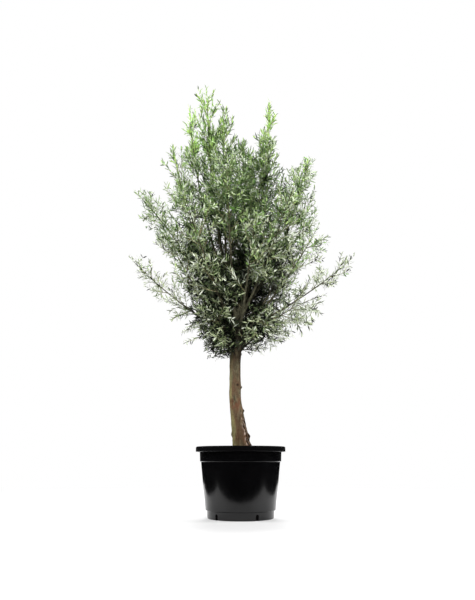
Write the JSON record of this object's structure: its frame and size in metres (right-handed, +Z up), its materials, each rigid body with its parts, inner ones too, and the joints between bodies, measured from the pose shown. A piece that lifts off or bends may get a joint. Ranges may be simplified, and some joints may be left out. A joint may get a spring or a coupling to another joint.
{
  "type": "potted olive tree",
  "caption": "Young standard olive tree with a clear stem and a full, upswept crown, growing in a round black nursery pot.",
  "frame": {"origin": "centre of the pot's flat underside, where the pot stands on the ground", "axes": "+Z up the trunk, +X to the viewer's right in the picture, +Y away from the viewer"},
  "size_m": [1.3085, 1.1606, 2.578],
  "materials": {
    "pot": "gloss",
    "soil": "matte",
    "bark": "matte",
    "leaves": "matte"
  },
  "bodies": {
    "root": {"pot": "pot", "soil": "soil", "trunk": "bark", "bough_leader_front": "bark", "bough_leader_inner": "bark", "bough_leader_left": "bark", "bough_leader_middle": "bark", "bough_leader_outer": "bark", "bough_leader_right": "bark", "bough_shoulder_back": "bark", "bough_shoulder_front": "bark", "bough_shoulder_left": "bark", "bough_shoulder_right": "bark", "bough_side_back": "bark", "bough_side_back_left": "bark", "bough_side_back_right": "bark", "bough_side_front": "bark", "bough_side_front_left": "bark", "bough_side_front_right": "bark", "bough_side_left": "bark", "bough_side_left_low": "bark", "bough_side_left_upper": "bark", "bough_side_right": "bark", "bough_side_right_low": "bark", "bough_side_right_upper": "bark", "bough_skirt_back_left": "bark", "bough_skirt_back_right": "bark", "bough_skirt_front_left": "bark", "bough_skirt_front_right": "bark", "bough_skirt_left": "bark", "bough_skirt_right": "bark", "foliage_leader_front": "leaves", "foliage_leader_inner": "leaves", "foliage_leader_left": "leaves", "foliage_leader_middle": "leaves", "foliage_leader_outer": "leaves", "foliage_leader_right": "leaves", "foliage_shoulder_back": "leaves", "foliage_shoulder_front": "leaves", "foliage_shoulder_left": "leaves", "foliage_shoulder_right": "leaves", "foliage_side_back": "leaves", "foliage_side_back_left": "leaves", "foliage_side_back_right": "leaves", "foliage_side_front": "leaves", "foliage_side_front_left": "leaves", "foliage_side_front_right": "leaves", "foliage_side_left": "leaves", "foliage_side_left_low": "leaves", "foliage_side_left_upper": "leaves", "foliage_side_right": "leaves", "foliage_side_right_low": "leaves", "foliage_side_right_upper": "leaves", "foliage_skirt_back_left": "leaves", "foliage_skirt_back_right": "leaves", "foliage_skirt_front_left": "leaves", "foliage_skirt_front_right": "leaves", "foliage_skirt_left": "leaves", "foliage_skirt_right": "leaves"}
  },
  "joints": []
}
